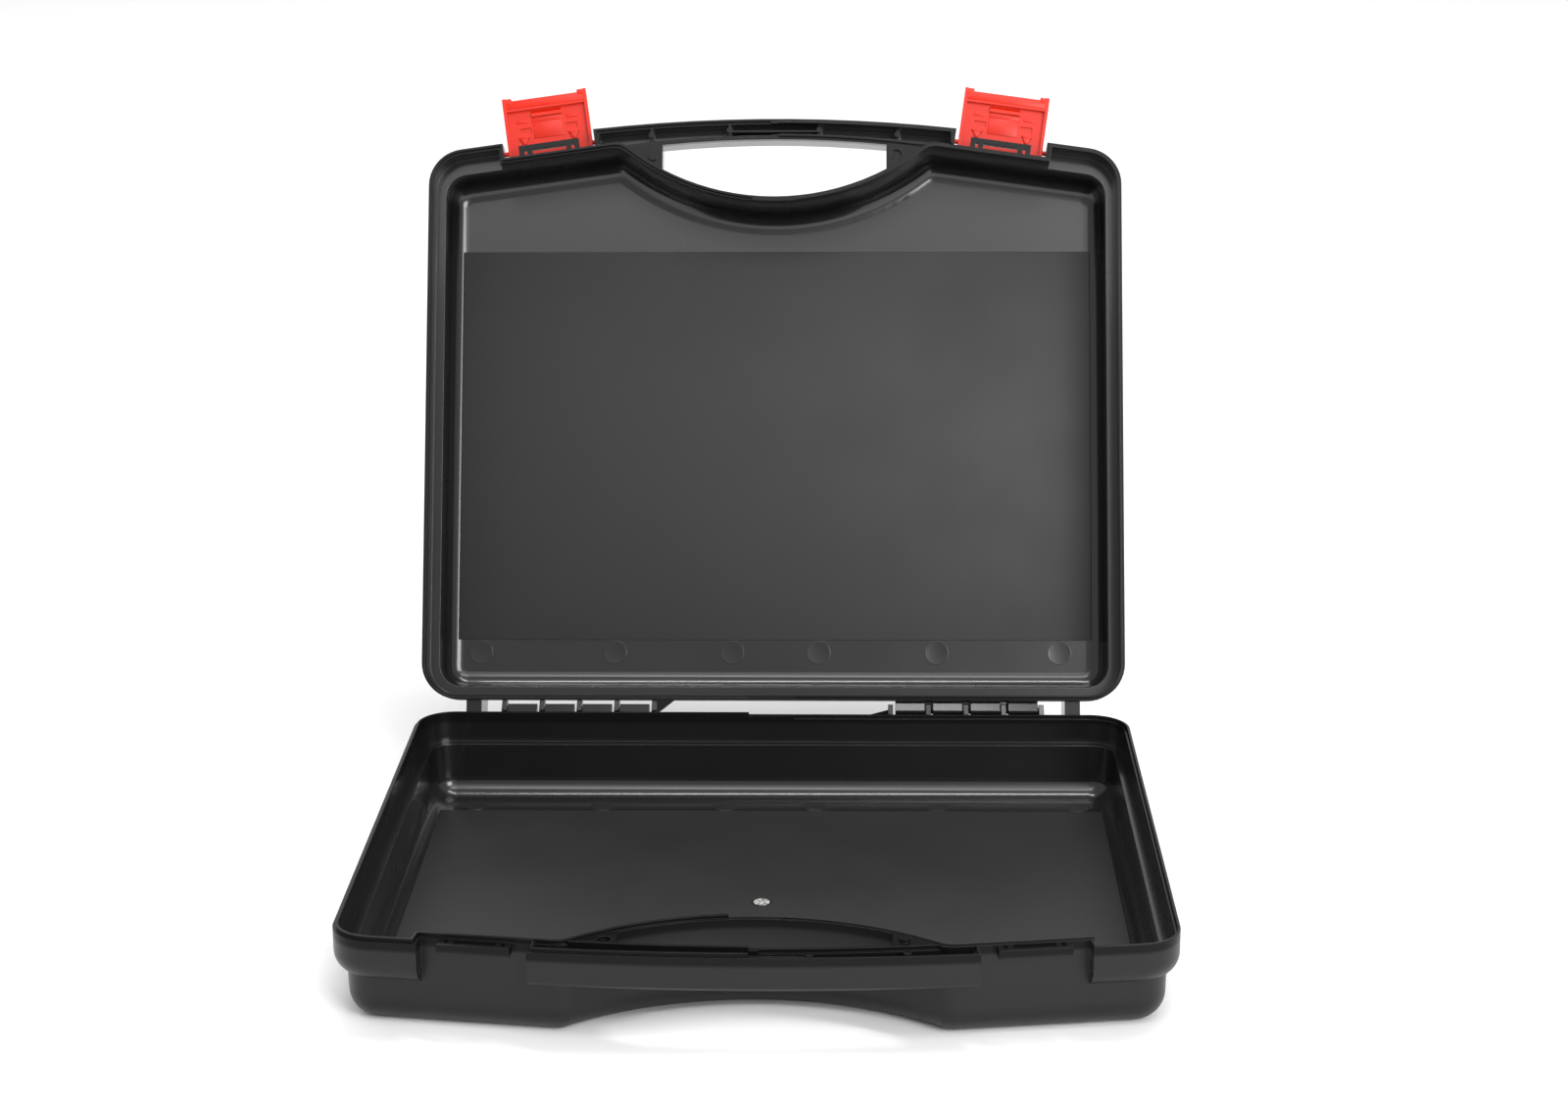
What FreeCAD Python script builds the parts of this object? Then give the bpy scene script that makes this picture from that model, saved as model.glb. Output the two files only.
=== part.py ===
"""Injection-moulded carry case: two interlocking half shells and two snap latches.

Both shells come from one moulding. The lid is the base turned half a turn about the
front-to-back line, so its hinge fingers meet the base's barrels, its tongue drops
behind the base's lip, and its peg enters the base's socket.

The moulding is drawn in its own frame: the hinge line is the X axis, the front with
the grip is towards -Y, and the parting plane is Z = 0 with the tray hanging below it.
The case then stands on the base's underside, with the lid open on its feet.
"""
import FreeCAD, Part
import math
import os
import re
import sys

from FreeCAD import Placement, Rotation, Vector

os.makedirs("parts", exist_ok=True)
doc = FreeCAD.newDocument("carry_case")

# Driving dimensions, in millimetres and degrees
SIZES = {
    # outline of the moulding
    "rim_width": 340.0,
    "rim_length": 268.7,
    "front_slope": 8.06,
    "case_depth": 285.9,
    "half_depth": 40.0,
    "hinge_setback": 5.1,
    "seat_setback": 140.0,
    # walls and roundings
    "wall": 2.4,
    "floor_wall": 2.2,
    "draft_angle": 1.5,
    "corner_round": 18.0,
    "under_round": 12.0,
    "nose_round": 8.0,
    "inner_round": 8.5,
    # skirt round the rim
    "skirt_step": 4.2,
    "skirt_front_step": 7.3,
    "skirt_block": 18.7,
    "skirt_round": 9.0,
    "ledge_depth": 13.2,
    # shallow panel in the tray floor
    "panel_length": 195.0,
    "panel_setback": 36.8,
    "panel_margin": 13.0,
    "panel_drop": 0.4,
    # grip and hand hole
    "grip_depth": 14.6,
    "grip_floor": 2.2,
    "grip_bar": 10.2,
    "grip_arc": 815.0,
    "grip_back_arc": 560.0,
    "grip_round": 2.5,
    "grip_end_wall": 2.9,
    "hole_width": 110.0,
    "hole_reach": 28.5,
    "hole_arc": 117.3,
    "web_plate": 2.4,
    # ribs in the grip channel
    "rib_near": 22.0,
    "rib_far": 60.5,
    "rib_thickness": 1.5,
    "rib_drop": 1.6,
    "post_diameter": 3.2,
    "spine_thickness": 1.2,
    # tongue and lip of the rim
    "tongue_height": 1.5,
    "tongue_thickness": 1.1,
    "tongue_gap": 0.1,
    "change_over": 11.0,
    "grip_change_over": 2.0,
    # locating peg and socket
    "peg_setback": 59.7,
    "peg_inset": 9.6,
    "peg_diameter": 5.2,
    "peg_height": 1.4,
    "peg_gap": 0.1,
    # latch recess and keeper
    "recess_start": 89.4,
    "recess_width": 45.0,
    "keeper_width": 29.7,
    "keeper_top": 0.6,
    "keeper_height": 3.8,
    "keeper_bar": 2.5,
    "keeper_slot": 17.0,
    "keeper_leg": 2.4,
    "keeper_side_slot": 1.5,
    # hinge
    "knuckle_radius": 3.05,
    "knuckle_root": 8.0,
    "knuckle_gap": 0.3,
    "barrel_length": 14.2,
    "barrel_start": 59.3,
    "hinge_pitch": 18.1,
    "finger_thickness": 2.4,
    "finger_gap": 0.4,
    "stub_diameter": 3.4,
    "stub_length": 1.4,
    "stub_gap": 0.08,
    "bracket_length": 10.0,
    # feet at the back, which also stop the lid
    "open_angle": 112.0,
    "foot_start": 141.1,
    "foot_width": 7.4,
    "foot_reach": 4.4,
    "foot_top": 4.0,
    "foot_length": 24.0,
    "stop_gap": 0.1,
    # snap latch
    "latch_width": 42.0,
    "latch_length": 26.3,
    "latch_tail": 1.9,
    "latch_plate": 2.0,
    "latch_gap": 0.3,
    "latch_open_angle": 90.0,
    "pivot_depth": 12.6,
    "pivot_inset": 2.8,
    "pin_diameter": 2.4,
    "pin_gap": 0.08,
    "pin_reach": 1.6,
    "cheek_thickness": 1.6,
    "cheek_depth": 2.4,
    "horn_length": 1.3,
    "lip_width": 15.0,
    "lip_height": 1.3,
    "lip_thickness": 1.5,
    "lip_gap": 0.2,
    "ridge_setback": 4.2,
    "ridge_height": 2.0,
    "ridge_thickness": 1.3,
    "relief_depth": 0.6,
    "relief_offset": 11.5,
    "relief_width": 6.0,
    "relief_height": 3.0,
}

sheet = doc.addObject("Spreadsheet::Sheet", "sizes")
for row, (alias, size) in enumerate(SIZES.items(), start=1):
    sheet.set(f"A{row}", alias)
    sheet.set(f"B{row}", str(size))
    sheet.setAlias(f"B{row}", alias)
doc.recompute()


def bound(expression):
    """The expression with every driving dimension written as a cell of the sheet."""
    return re.sub(r"[a-z_]+", lambda word: f"sizes.{word[0]}" if word[0] in SIZES else word[0], expression)


def value(expression):
    """The expression's value, in millimetres or degrees."""
    number = sheet.evalExpression(bound(expression))
    return float(getattr(number, "Value", number))


def bind(thing, prop, expression):
    """Ties a property of a document object to the sheet."""
    thing.setExpression(prop, bound(expression))


# Places on the outline, as expressions: v is the distance in front of the hinge line
CORNER_V = "(hinge_setback + rim_length)"
GRIP_APEX_V = "(hinge_setback + case_depth)"
GRIP_BACK_V = "(hinge_setback + case_depth - grip_bar)"
HOLE_APEX_V = "(hinge_setback + case_depth - grip_bar - hole_reach)"
HOLE_CENTRE_V = f"({HOLE_APEX_V} + hole_arc)"


def front_v(across, inset="0"):
    """The sloped front edge at a distance across from the middle, moved in by inset."""
    return (f"({CORNER_V} + tan(front_slope) * (rim_width / 2 - ({across}))"
            f" - ({inset}) / cos(front_slope))")


def recess_point(along, inset):
    """A point of the latch recess: along the sloped edge from its inner end, then inwards."""
    across = f"(recess_start + ({along}) * cos(front_slope) - ({inset}) * sin(front_slope))"
    forward = (f"({front_v('recess_start')} - ({along}) * sin(front_slope)"
               f" - ({inset}) * cos(front_slope))")
    return across, forward


def nose_across(inset):
    """Where the sloped front wall meets the arc round the hand hole."""
    slope = "tan(front_slope)"
    drop = f"({HOLE_CENTRE_V} - {front_v('0', f'skirt_front_step + {inset}')})"
    radius = f"(hole_arc + {inset})"
    square = f"(1 + {slope} ^ 2)"
    root = f"sqrt(({slope} * {drop}) ^ 2 - {square} * ({drop} ^ 2 - {radius} ^ 2))"
    return f"(({root} - {slope} * {drop}) / {square})"


# Helpers that make document objects
def origin_plane(body, role):
    return next(item for item in body.Origin.OriginFeatures if item.Role == role)


def sketch(body, name, role, corners, shift=None):
    """A closed outline on one of the body's planes.

    Each corner is a pair of expressions, with a third one, the radius, where an arc
    runs to the next corner, positive where the arc bulges to the right of the way.
    """
    outline = body.newObject("Sketcher::SketchObject", name)
    outline.AttachmentSupport = [(origin_plane(body, role), "")]
    outline.MapMode = "FlatFace"
    if shift:
        bind(outline, "AttachmentOffset.Base.z", shift)
    places = [Vector(value(corner[0]), value(corner[1]), 0) for corner in corners]
    for index, corner in enumerate(corners):
        start = places[index]
        end = places[(index + 1) % len(places)]
        if len(corner) < 3:
            outline.addGeometry(Part.LineSegment(start, end), False)
            continue
        radius = value(corner[2])
        chord = end - start
        half = chord.Length / 2
        rise = abs(radius) - math.sqrt(radius ** 2 - half ** 2)
        side = Vector(chord.y, -chord.x, 0).normalize() * math.copysign(rise, radius)
        arc = Part.Arc(start, start + chord / 2 + side, end)
        outline.addGeometry(arc, False)
    for index, corner in enumerate(corners):
        is_arc = len(corner) > 2
        counter_clockwise = is_arc and value(corner[2]) > 0
        near = 2 if is_arc and not counter_clockwise else 1
        following = (index + 1) % len(corners)
        next_arc = len(corners[following]) > 2
        next_near = 2 if next_arc and value(corners[following][2]) < 0 else 1
        outline.addConstraint(Sketcher.Constraint("Coincident", index, 3 - near, following, next_near))
        for axis, expression in (("DistanceX", corner[0]), ("DistanceY", corner[1])):
            number = outline.addConstraint(Sketcher.Constraint(axis, index, near, value(expression)))
            bind(outline, f"Constraints[{number}]", expression)
        if is_arc:
            radius = corner[2].lstrip("-")
            number = outline.addConstraint(Sketcher.Constraint("Radius", index, value(radius)))
            bind(outline, f"Constraints[{number}]", radius)
    return outline


def disc(body, name, role, across, up, diameter, shift=None):
    """A circle on one of the body's planes."""
    outline = body.newObject("Sketcher::SketchObject", name)
    outline.AttachmentSupport = [(origin_plane(body, role), "")]
    outline.MapMode = "FlatFace"
    if shift:
        bind(outline, "AttachmentOffset.Base.z", shift)
    centre = Vector(value(across), value(up), 0)
    outline.addGeometry(Part.Circle(centre, Vector(0, 0, 1), value(diameter) / 2), False)
    for axis, expression in (("DistanceX", across), ("DistanceY", up)):
        if abs(value(expression)) < 1e-9:
            continue
        number = outline.addConstraint(Sketcher.Constraint(axis, 0, 3, value(expression)))
        bind(outline, f"Constraints[{number}]", expression)
    number = outline.addConstraint(Sketcher.Constraint("Diameter", 0, value(diameter)))
    bind(outline, f"Constraints[{number}]", diameter)
    return outline


def pad(body, name, outline, length, down=False, both=False):
    """Thickens an outline."""
    feature = body.newObject("PartDesign::Pad", name)
    feature.Profile = outline
    bind(feature, "Length", length)
    feature.Reversed = down
    feature.Midplane = both
    doc.recompute()
    return feature


def pick(feature, kind, test):
    """The names of the feature's edges or faces that pass a test."""
    items = feature.Shape.Edges if kind == "Edge" else feature.Shape.Faces
    return [f"{kind}{number}" for number, item in enumerate(items, start=1) if test(item)]


def round_edges(body, name, feature, test, radius):
    """Rounds the edges that pass a test."""
    rounded = body.newObject("PartDesign::Fillet", name)
    rounded.Base = (feature, pick(feature, "Edge", test))
    bind(rounded, "Radius", radius)
    doc.recompute()
    return rounded


def upright(edge):
    """Whether an edge runs along Z."""
    first, last = edge.Vertexes[0].Point, edge.Vertexes[-1].Point
    return abs(first.z - last.z) > 0.9 * edge.Length


def at_height(edge, height):
    """Whether an edge lies flat at a height."""
    box = edge.BoundBox
    return abs(box.ZMin - height) < 1e-3 and abs(box.ZMax - height) < 1e-3


def join(name, pieces):
    """Fuses solids."""
    whole = doc.addObject("Part::MultiFuse", name)
    whole.Shapes = pieces
    whole.Refine = True
    doc.recompute()
    return whole


def cut(name, base, tool):
    """Takes one solid away from another."""
    rest = doc.addObject("Part::Cut", name)
    rest.Base = base
    rest.Tool = tool
    rest.Refine = True
    doc.recompute()
    return rest


def carve(name, solid, tools):
    """Takes several solids away, one after the other."""
    for number, tool in enumerate(tools):
        solid = cut(f"{name}_{number}", solid, tool)
    return solid


def overlap(name, first, second):
    """The space that two solids share."""
    shared = doc.addObject("Part::MultiCommon", name)
    shared.Shapes = [first, second]
    doc.recompute()
    return shared


def block(name, low, high):
    """A box between two corners, each given as three expressions."""
    box = doc.addObject("Part::Box", name)
    for prop, axis in (("Length", 0), ("Width", 1), ("Height", 2)):
        bind(box, prop, f"({high[axis]}) - ({low[axis]})")
    for axis, letter in enumerate("xyz"):
        bind(box, f"Placement.Base.{letter}", low[axis])
    doc.recompute()
    return box


def rod(name, centre, direction, diameter, length):
    """A cylinder from a point along a direction."""
    cylinder = doc.addObject("Part::Cylinder", name)
    bind(cylinder, "Radius", f"({diameter}) / 2")
    bind(cylinder, "Height", length)
    cylinder.Placement.Rotation = Rotation(Vector(0, 0, 1), direction)
    for letter, expression in zip("xyz", centre):
        bind(cylinder, f"Placement.Base.{letter}", expression)
    doc.recompute()
    return cylinder


# Outlines of the moulding, each moved in by an inset
def tray_outline(inset):
    """The tray: straight back and sides, sloped front walls, and the arc of the hand hole."""
    side = f"(rim_width / 2 - skirt_step - {inset})"
    back = f"(-(hinge_setback + skirt_step + {inset}))"
    shoulder = f"(-{front_v(side, f'skirt_front_step + {inset}')})"
    nose = nose_across(inset)
    nose_y = f"(-{front_v(nose, f'skirt_front_step + {inset}')})"
    return [(f"-{side}", back), (f"-{side}", shoulder), (f"-{nose}", nose_y, f"-(hole_arc + {inset})"),
            (nose, nose_y), (side, shoulder), (side, back)]


def skirt_outline(inset):
    """The skirt: it stops at the latch recesses, and its middle runs inside the tray."""
    side = f"(rim_width / 2 - {inset})"
    back = f"(-(hinge_setback + {inset}))"
    front = f"(-{front_v(side, inset)})"
    end_across, end_v = recess_point(f"recess_width + {inset}", inset)
    in_across, in_v = recess_point(f"recess_width + {inset}", "5 * skirt_front_step")
    return [(f"-{side}", back), (f"-{side}", front), (f"-{end_across}", f"-{end_v}"),
            (f"-{in_across}", f"-{in_v}"), (in_across, f"-{in_v}"), (end_across, f"-{end_v}"),
            (side, front), (side, back)]


def channel_outline(inset):
    """The channel of the grip, between its curved front wall and its curved back wall."""
    end = f"(recess_start - grip_end_wall + wall - {inset})"
    front_radius = f"(grip_arc - {inset})"
    back_radius = f"(grip_back_arc + {inset})"
    front_y = f"(-({GRIP_APEX_V} - grip_arc + sqrt({front_radius} ^ 2 - {end} ^ 2)))"
    back_y = f"(-({GRIP_BACK_V} - grip_back_arc + sqrt({back_radius} ^ 2 - {end} ^ 2)))"
    return [(f"-{end}", back_y), (f"-{end}", front_y, front_radius), (end, front_y),
            (end, back_y, f"-{back_radius}")]


def grip_outline():
    """The grip's outside, which runs back into the tray's front wall."""
    front_y = f"(-({GRIP_APEX_V} - grip_arc + sqrt(grip_arc ^ 2 - recess_start ^ 2)))"
    in_across, in_v = recess_point("0", "5 * skirt_front_step")
    return [(f"-{in_across}", f"-{in_v}"), ("-recess_start", front_y, "grip_arc"),
            ("recess_start", front_y), (in_across, f"-{in_v}")]


def slab(tag, name, outline, inset, thickness, down):
    """A slab of the tray's or the skirt's outline, with its corners rounded."""
    body = doc.addObject("PartDesign::Body", f"{tag}_{name}")
    plan = sketch(body, f"{tag}_{name}_plan", "XY_Plane", outline(inset))
    tip = pad(body, f"{tag}_{name}_pad", plan, thickness, down=down)
    half = value("rim_width") / 2
    step = "skirt_step" if outline is tray_outline else "0"
    corner = lambda edge: upright(edge) and abs(edge.Vertexes[0].X) > 0.9 * half
    tip = round_edges(body, f"{tag}_{name}_corners", tip, corner, f"corner_round - {step} - {inset}")
    if outline is tray_outline:
        nose = lambda edge: upright(edge) and value("hole_width") / 2 < abs(edge.Vertexes[0].X) < 0.6 * half
        tip = round_edges(body, f"{tag}_{name}_nose", tip, nose, f"nose_round + {inset}")
    return body, tip


def drafted_tray(tag, name, inset, depth, under):
    """The tray as a tapered block with a rounded underside."""
    body, tip = slab(tag, name, tray_outline, inset, depth, down=True)
    side_face = lambda face: face.BoundBox.ZLength > 0.9 * value(depth)
    draft = body.newObject("PartDesign::Draft", f"{tag}_{name}_draft")
    draft.Base = (tip, pick(tip, "Face", side_face))
    draft.NeutralPlane = (origin_plane(body, "XY_Plane"), [""])
    draft.Reversed = True
    bind(draft, "Angle", "draft_angle")
    doc.recompute()
    bottom = -value(depth)
    round_edges(body, f"{tag}_{name}_under", draft, lambda edge: at_height(edge, bottom), under)
    return body


def rounded_skirt(tag):
    """The skirt's outside, whose lower edge curves in to the tray's wall."""
    body, tip = slab(tag, "skirt", skirt_outline, "0", "skirt_block", down=True)
    bottom = -value("skirt_block")
    inside = value(recess_point("recess_width", "5 * skirt_front_step")[1])
    outer = lambda edge: at_height(edge, bottom) and not (
        abs(edge.Vertexes[0].X) <= value("recess_start + recess_width")
        and abs(edge.Vertexes[-1].X) <= value("recess_start + recess_width")
        and edge.BoundBox.YMax < -0.8 * inside)
    round_edges(body, f"{tag}_skirt_under", tip, outer, "skirt_round")
    return body


def rounded_grip(tag):
    """The grip's outside, with its two lower edges rounded."""
    body = doc.addObject("PartDesign::Body", f"{tag}_grip")
    plan = sketch(body, f"{tag}_grip_plan", "XY_Plane", grip_outline())
    tip = pad(body, f"{tag}_grip_pad", plan, "grip_depth", down=True)
    bottom = -value("grip_depth")
    front = -value(GRIP_APEX_V) + value("grip_bar")
    outer = lambda edge: at_height(edge, bottom) and edge.CenterOfMass.y < front
    round_edges(body, f"{tag}_grip_under", tip, outer, "grip_round")
    return body


def channel(tag, name, inset, depth, down):
    """A slab of the grip channel's outline."""
    body = doc.addObject("PartDesign::Body", f"{tag}_{name}")
    plan = sketch(body, f"{tag}_{name}_plan", "XY_Plane", channel_outline(inset))
    pad(body, f"{tag}_{name}_pad", plan, depth, down=down)
    return body


def hole_lens(tag):
    """The lens between the arc of the tray's front wall and the back of the grip."""
    deep = "3 * half_depth"
    lens = []
    for name, radius, centre in (("hole_front", "grip_back_arc", f"-({GRIP_BACK_V} - grip_back_arc)"),
                                 ("hole_back", "hole_arc", f"-{HOLE_CENTRE_V}")):
        lens.append(rod(f"{tag}_{name}", ("0", centre, "-half_depth"), Vector(0, 0, 1),
                        f"2 * {radius}", deep))
    return overlap(f"{tag}_hole_lens", *lens)


def rim_ring(tag, name, outer, height, down, guard):
    """A band that follows the inside of the whole rim, between two insets."""
    rings = []
    for edge, inset in (("outer", outer), ("inner", "wall")):
        thickness = height if edge == "outer" else f"2 * {height}"
        skirt, _ = slab(tag, f"{name}_skirt_{edge}", skirt_outline, inset, thickness, down)
        tray, _ = slab(tag, f"{name}_tray_{edge}", tray_outline, inset, thickness, down)
        rings.append(join(f"{tag}_{name}_{edge}", [skirt, tray]))
    grip = [channel(tag, f"{name}_grip_{edge}", inset, height if edge == "outer" else f"2 * {height}", down)
            for edge, inset in (("outer", outer), ("inner", "wall"))]
    tray_ring = cut(f"{tag}_{name}_tray_ring", *rings)
    grip_ring = carve(f"{tag}_{name}_grip_ring", grip[0], [grip[1], guard])
    return tray_ring, grip_ring


def half_space(tag, name, left, change, low, high):
    """A box over one side of the rim, clear of the change-over at the middle."""
    far = "rim_width"
    ends = (f"-{far}", f"-{change}") if left else (change, far)
    return block(f"{tag}_{name}", (ends[0], "-2 * case_depth", low), (ends[1], "0", high))


def tongue(tag, guard):
    """The raised inner half of the rim, on the left."""
    tray_ring, grip_ring = rim_ring(tag, "tongue", "(wall - tongue_thickness)", "tongue_height", False, guard)
    lens_keep = half_space(tag, "tongue_side", True, "change_over", "0", "tongue_height")
    grip_keep = half_space(tag, "tongue_grip_side", True, "grip_change_over", "0", "tongue_height")
    return [overlap(f"{tag}_tongue_tray", tray_ring, lens_keep),
            overlap(f"{tag}_tongue_grip", grip_ring, grip_keep)]


def lip_cut(tag, guard):
    """What is taken from the inner half of the rim on the right, for the other tongue."""
    height = "(tongue_height + tongue_gap)"
    outer = "(wall - tongue_thickness - tongue_gap)"
    tray_ring, grip_ring = rim_ring(tag, "lip", outer, height, True, guard)
    tray_side = half_space(tag, "lip_side", False, "(change_over - tongue_gap)", f"-{height}", "0")
    grip_side = half_space(tag, "lip_grip_side", False, "(grip_change_over - tongue_gap)", f"-{height}", "0")
    return [overlap(f"{tag}_lip_tray", tray_ring, tray_side),
            overlap(f"{tag}_lip_grip", grip_ring, grip_side)]


def channel_ribs(tag, space):
    """Cross ribs with a round post each, and the spine between the two middle ribs."""
    low = "-(grip_depth - grip_floor / 2)"
    top = "-rib_drop"
    front = f"-{GRIP_APEX_V}"
    back = f"-({GRIP_BACK_V} - grip_bar)"
    mid_y = f"-({GRIP_APEX_V} - grip_bar / 2)"
    parts = []
    for number, place in enumerate(("-rib_far", "-rib_near", "rib_near", "rib_far")):
        rib = block(f"{tag}_rib_{number}", (f"{place} - rib_thickness / 2", front, low),
                    (f"{place} + rib_thickness / 2", back, top))
        sag = f"({place}) ^ 2 / (grip_arc + grip_back_arc)"
        post = rod(f"{tag}_post_{number}", (place, f"{mid_y} + {sag}", low), Vector(0, 0, 1),
                   "post_diameter", f"({top}) - ({low}) + rib_drop / 2")
        parts += [rib, post]
    spine_y = f"({mid_y} + rib_thickness / 2)"
    parts.append(block(f"{tag}_spine", ("-rib_near", f"{spine_y} - spine_thickness / 2", low),
                       ("rib_near", f"{spine_y} + spine_thickness / 2", top)))
    return overlap(f"{tag}_channel_ribs", join(f"{tag}_ribs", parts), space)


def keeper(tag, side):
    """The slotted bar in a latch recess, which a latch's lip snaps under."""
    name = "right" if side > 0 else "left"
    root = "(skirt_front_step + wall / 2)"
    bar_face = "(latch_plate + latch_gap)"
    body = doc.addObject("PartDesign::Body", f"{tag}_keeper_{name}")
    outline = [("-keeper_width / 2", root), ("keeper_width / 2", root),
               ("keeper_width / 2", bar_face), ("-keeper_width / 2", bar_face)]
    plan = sketch(body, f"{tag}_keeper_{name}_plan", "XY_Plane", outline, "-(keeper_top + keeper_height)")
    tip = pad(body, f"{tag}_keeper_{name}_pad", plan, "keeper_height")
    bar_back = "(latch_plate + latch_gap + keeper_bar)"
    slot_back = "skirt_front_step"
    side_start = "(keeper_slot / 2 + keeper_leg)"
    slots = (("-keeper_slot / 2", "keeper_slot / 2"),
             (side_start, f"{side_start} + keeper_side_slot"),
             (f"-({side_start} + keeper_side_slot)", f"-{side_start}"))
    for number, (near, far) in enumerate(slots):
        slot = sketch(body, f"{tag}_keeper_{name}_slot_{number}", "XY_Plane",
                      [(near, slot_back), (far, slot_back), (far, bar_back), (near, bar_back)])
        pocket = body.newObject("PartDesign::Pocket", f"{tag}_keeper_{name}_pocket_{number}")
        pocket.Profile = slot
        pocket.Midplane = True
        bind(pocket, "Length", "4 * (keeper_top + keeper_height)")
        doc.recompute()
        if pocket.Shape.Volume >= tip.Shape.Volume:
            raise ValueError(f"{pocket.Name} cut nothing")
        tip = pocket
    place_on_edge(body, side, "recess_width / 2", "0", "0")
    return body


def place_on_edge(thing, side, along, inset, depth):
    """Puts a piece in a latch recess, its Y axis pointing into the case."""
    across, forward = recess_point(along, inset)
    sign = "" if side > 0 else "-"
    bind(thing, "Placement.Base.x", f"{sign}({across})")
    bind(thing, "Placement.Base.y", f"-({forward})")
    bind(thing, "Placement.Base.z", f"-({depth})")
    thing.Placement.Rotation = Rotation(Vector(0, 0, 1), side * value("front_slope"))
    doc.recompute()


def pivot_bore(tag, side):
    """The bore for a latch's pin, which runs into both ends of its recess."""
    name = "right" if side > 0 else "left"
    bore = doc.addObject("Part::Cylinder", f"{tag}_pivot_bore_{name}")
    bind(bore, "Radius", "pin_diameter / 2 + pin_gap")
    bind(bore, "Height", "recess_width + 2 * (pin_reach + pin_gap)")
    start = "(-(pin_reach + pin_gap))" if side > 0 else "(recess_width + pin_reach + pin_gap)"
    across, forward = recess_point(start, "pivot_inset")
    sign = "" if side > 0 else "-"
    bind(bore, "Placement.Base.x", f"{sign}({across})")
    bind(bore, "Placement.Base.y", f"-({forward})")
    bind(bore, "Placement.Base.z", "-pivot_depth")
    turn = Rotation(Vector(0, 0, 1), side * value("front_slope"))
    bore.Placement.Rotation = turn.multiply(Rotation(Vector(0, 1, 0), 90))
    doc.recompute()
    return bore


def knuckle_outline():
    """A hinge knuckle seen along the hinge line: a round end on a root in the back wall."""
    root_y = "(-(hinge_setback + wall / 2))"
    return [("0", "knuckle_radius"), ("-(hinge_setback - knuckle_gap)", "-knuckle_gap"),
            (root_y, "-knuckle_gap"), (root_y, "-knuckle_root"),
            ("0", "-knuckle_radius", "knuckle_radius"), ("knuckle_radius", "0", "knuckle_radius")]


def knuckle_row(tag, name, start, thickness, count):
    """Equal knuckles at the hinge pitch, from the inner one outwards to the right."""
    body = doc.addObject("PartDesign::Body", f"{tag}_{name}")
    outline = sketch(body, f"{tag}_{name}_outline", "YZ_Plane", knuckle_outline(), start)
    first = pad(body, f"{tag}_{name}_pad", outline, thickness)
    pattern = body.newObject("PartDesign::LinearPattern", f"{tag}_{name}_row")
    pattern.Originals = [first]
    pattern.Direction = (next(item for item in body.Origin.OriginFeatures if item.Role == "X_Axis"), [""])
    pattern.Occurrences = count
    bind(pattern, "Length", f"hinge_pitch * {count - 1}")
    body.Tip = pattern
    doc.recompute()
    return body


def hinge(tag):
    """Barrels on the left, fingers with stub pins on the right, and the last finger's bracket."""
    barrel_start = "(-(barrel_start + barrel_length + 3 * hinge_pitch))"
    barrels = knuckle_row(tag, "barrels", barrel_start, "barrel_length", 4)
    bores = []
    stubs = []
    for number in range(4):
        outer_end = f"(-(barrel_start + barrel_length + {number} * hinge_pitch))"
        bores.append(rod(f"{tag}_bore_{number}", (outer_end, "0", "0"), Vector(1, 0, 0),
                         "stub_diameter + 2 * stub_gap", "stub_length"))
        finger = f"(barrel_start + barrel_length + finger_gap - stub_length + {number} * hinge_pitch)"
        stubs.append(rod(f"{tag}_stub_{number}", (finger, "0", "0"), Vector(1, 0, 0),
                         "stub_diameter", "stub_length + finger_thickness / 2"))
    barrels = cut(f"{tag}_bored_barrels", barrels, join(f"{tag}_bores", bores))
    first_finger = "(barrel_start + barrel_length + finger_gap - hinge_pitch)"
    fingers = knuckle_row(tag, "fingers", first_finger, "finger_thickness", 5)
    bracket = doc.addObject("PartDesign::Body", f"{tag}_bracket")
    wall_y = "(-(hinge_setback + wall / 2))"
    tip_y = "(knuckle_radius / 2)"
    outline = sketch(bracket, f"{tag}_bracket_plan", "XY_Plane",
                     [(first_finger, tip_y), (f"{first_finger} - bracket_length", wall_y),
                      (f"{first_finger} + finger_thickness / 2", wall_y),
                      (f"{first_finger} + finger_thickness / 2", tip_y)])
    pad(bracket, f"{tag}_bracket_pad", outline, "knuckle_root * 0.6", down=True)
    return [barrels, fingers, bracket] + stubs


def foot(tag, side):
    """A foot on the back: the case stands on it, and it stops the opening lid."""
    name = "right" if side > 0 else "left"
    body = doc.addObject("PartDesign::Body", f"{tag}_foot_{name}")
    root_y = "(-(hinge_setback + skirt_step + wall / 2))"
    half_turn = "tan(open_angle / 2)"
    gap = "(stop_gap / 2 / cos(open_angle / 2))"
    outline = [(root_y, "-foot_top"), (f"((foot_top - {gap}) / {half_turn})", "-foot_top"),
               ("foot_reach", f"(-(foot_reach * {half_turn} + {gap}))"),
               ("foot_reach", "-(foot_top + foot_length)"),
               (root_y, "-(foot_top + foot_length + foot_reach / 2)")]
    start = "foot_start" if side > 0 else "-(foot_start + foot_width)"
    profile = sketch(body, f"{tag}_foot_{name}_outline", "YZ_Plane", outline, start)
    pad(body, f"{tag}_foot_{name}_pad", profile, "foot_width")
    return body


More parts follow.
